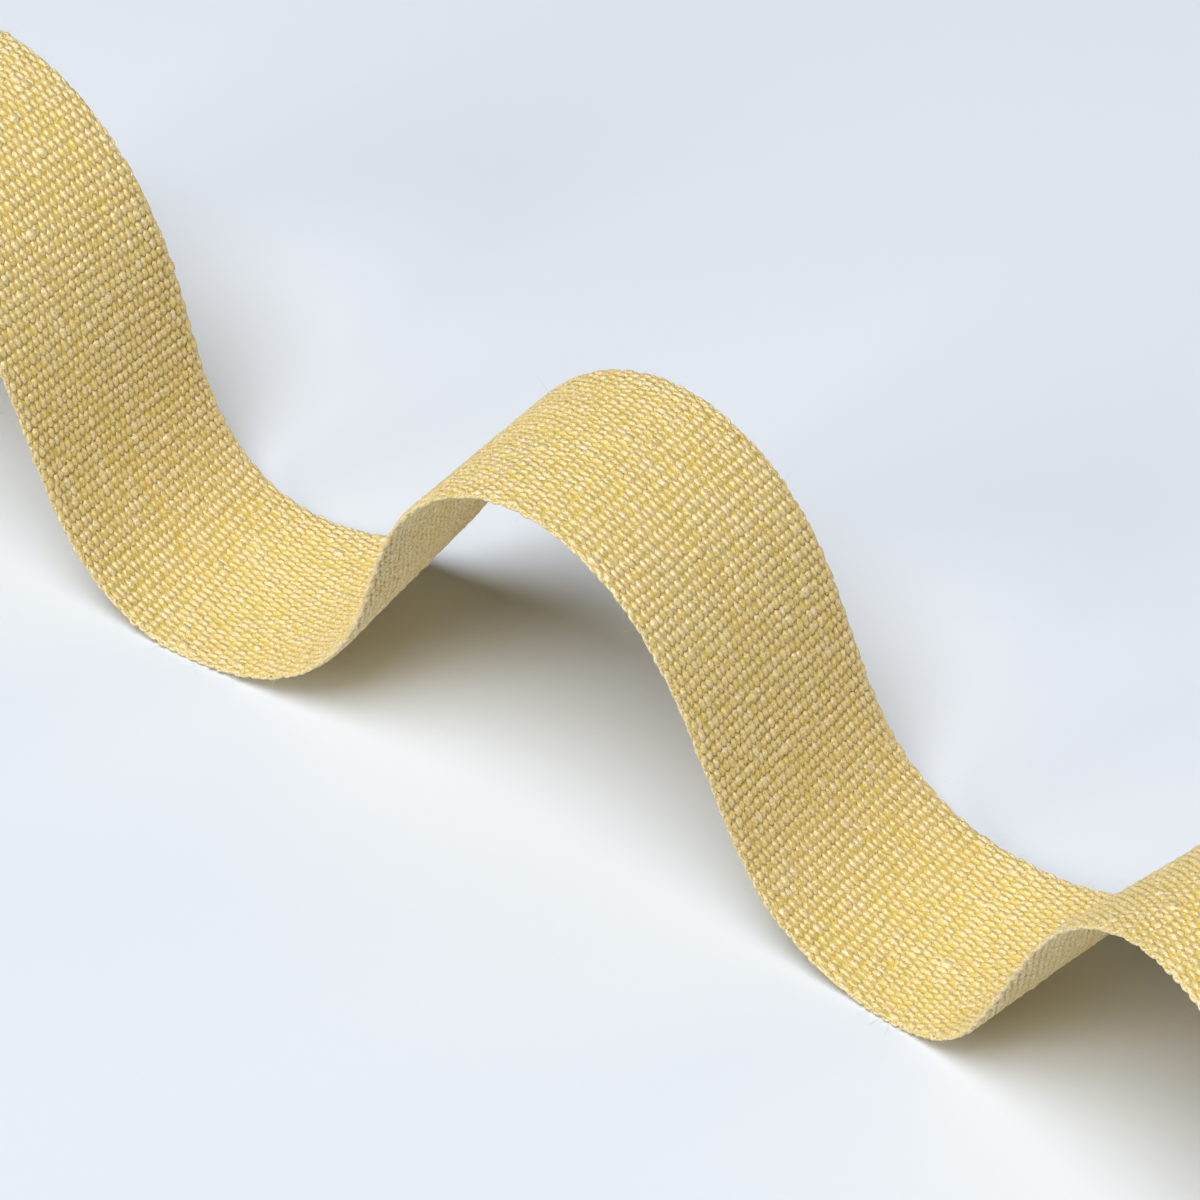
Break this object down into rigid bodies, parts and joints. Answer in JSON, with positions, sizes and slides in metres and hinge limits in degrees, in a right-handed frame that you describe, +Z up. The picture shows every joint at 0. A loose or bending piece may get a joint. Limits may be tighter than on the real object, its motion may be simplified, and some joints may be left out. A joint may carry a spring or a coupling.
{
  "type": "linen tape trim",
  "caption": "Cut length of narrow woven linen tape with cross ribs and plain selvedges, lying in loose standing waves with both cut ends flat on the surface.",
  "frame": {"origin": "centre of the bounding box, on the surface that the tape lies on", "axes": "+X along the tape, +Y towards its far edge, +Z up"},
  "size_m": [0.234, 0.0474, 0.0369],
  "materials": {
    "linen": "matt ribbed plain weave"
  },
  "bodies": {
    "root": {"tape": "linen"}
  },
  "joints": []
}
